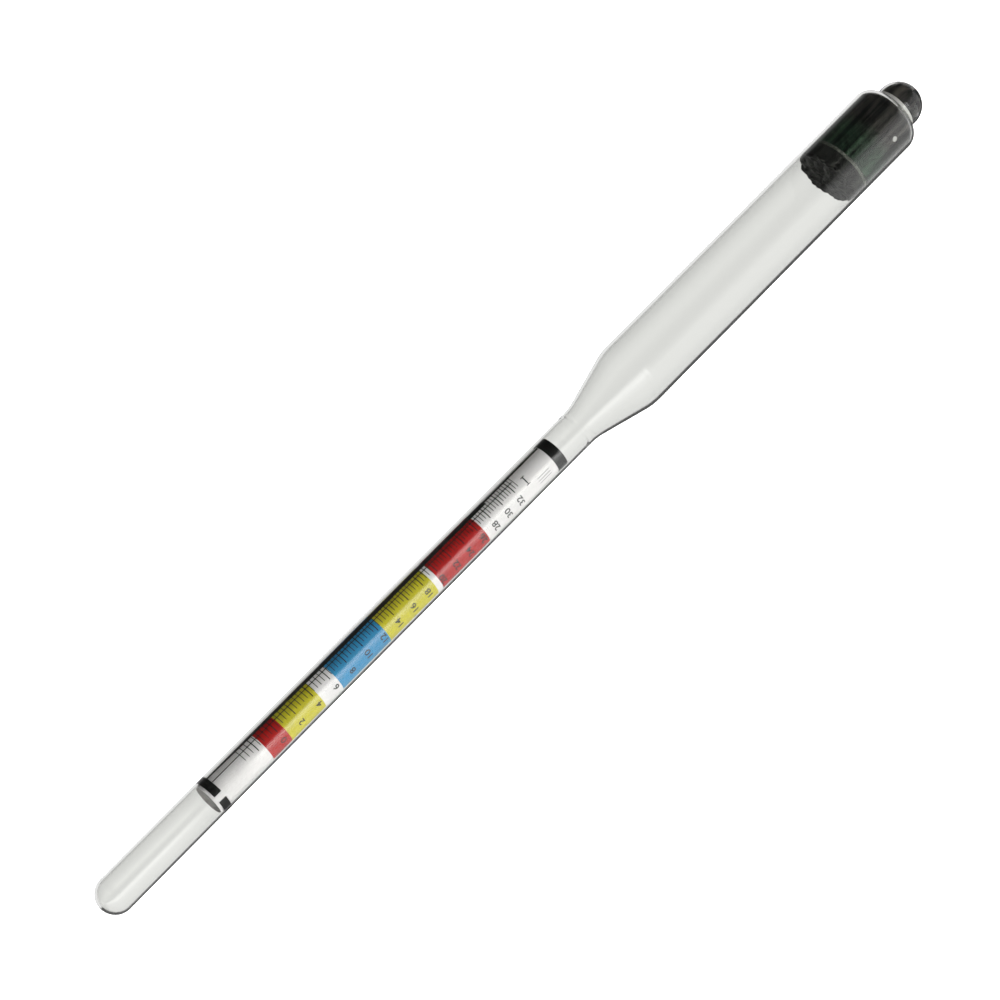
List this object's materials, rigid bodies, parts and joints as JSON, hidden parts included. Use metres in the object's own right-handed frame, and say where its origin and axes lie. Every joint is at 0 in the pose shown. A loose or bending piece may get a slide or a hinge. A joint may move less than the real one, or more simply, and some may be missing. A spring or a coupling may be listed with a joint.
{
  "type": "hydrometer",
  "caption": "Sealed glass hydrometer: cylindrical weighted float with a round nub, narrow round-tipped stem holding a rolled paper density scale with coloured zones.",
  "frame": {"origin": "lowest point of the nub under the float, on the axis", "axes": "+Z along the axis from the float to the tip of the stem, as it floats; +X and +Y across it"},
  "size_m": [0.0164, 0.0164, 0.26],
  "materials": {
    "clear_glass": "gloss",
    "scale_paper": "matte",
    "red_ink": "satin",
    "yellow_ink": "satin",
    "blue_ink": "satin",
    "black_band": "satin",
    "card_disc": "matte",
    "black_wax": "satin",
    "dark_binder": "satin",
    "steel_shot": "satin"
  },
  "bodies": {
    "root": {"float_bulb": "clear_glass", "stem_tube": "clear_glass", "scale_paper": "scale_paper", "zone_red_lower": "red_ink", "zone_yellow_lower": "yellow_ink", "zone_blue": "blue_ink", "zone_yellow_upper": "yellow_ink", "zone_red_upper": "red_ink", "neck_end_band": "black_band", "tip_end_band": "black_band", "retaining_disc": "card_disc", "seal_plug": "black_wax", "ballast_pitch": "dark_binder", "ballast_shot": "steel_shot"}
  },
  "joints": []
}
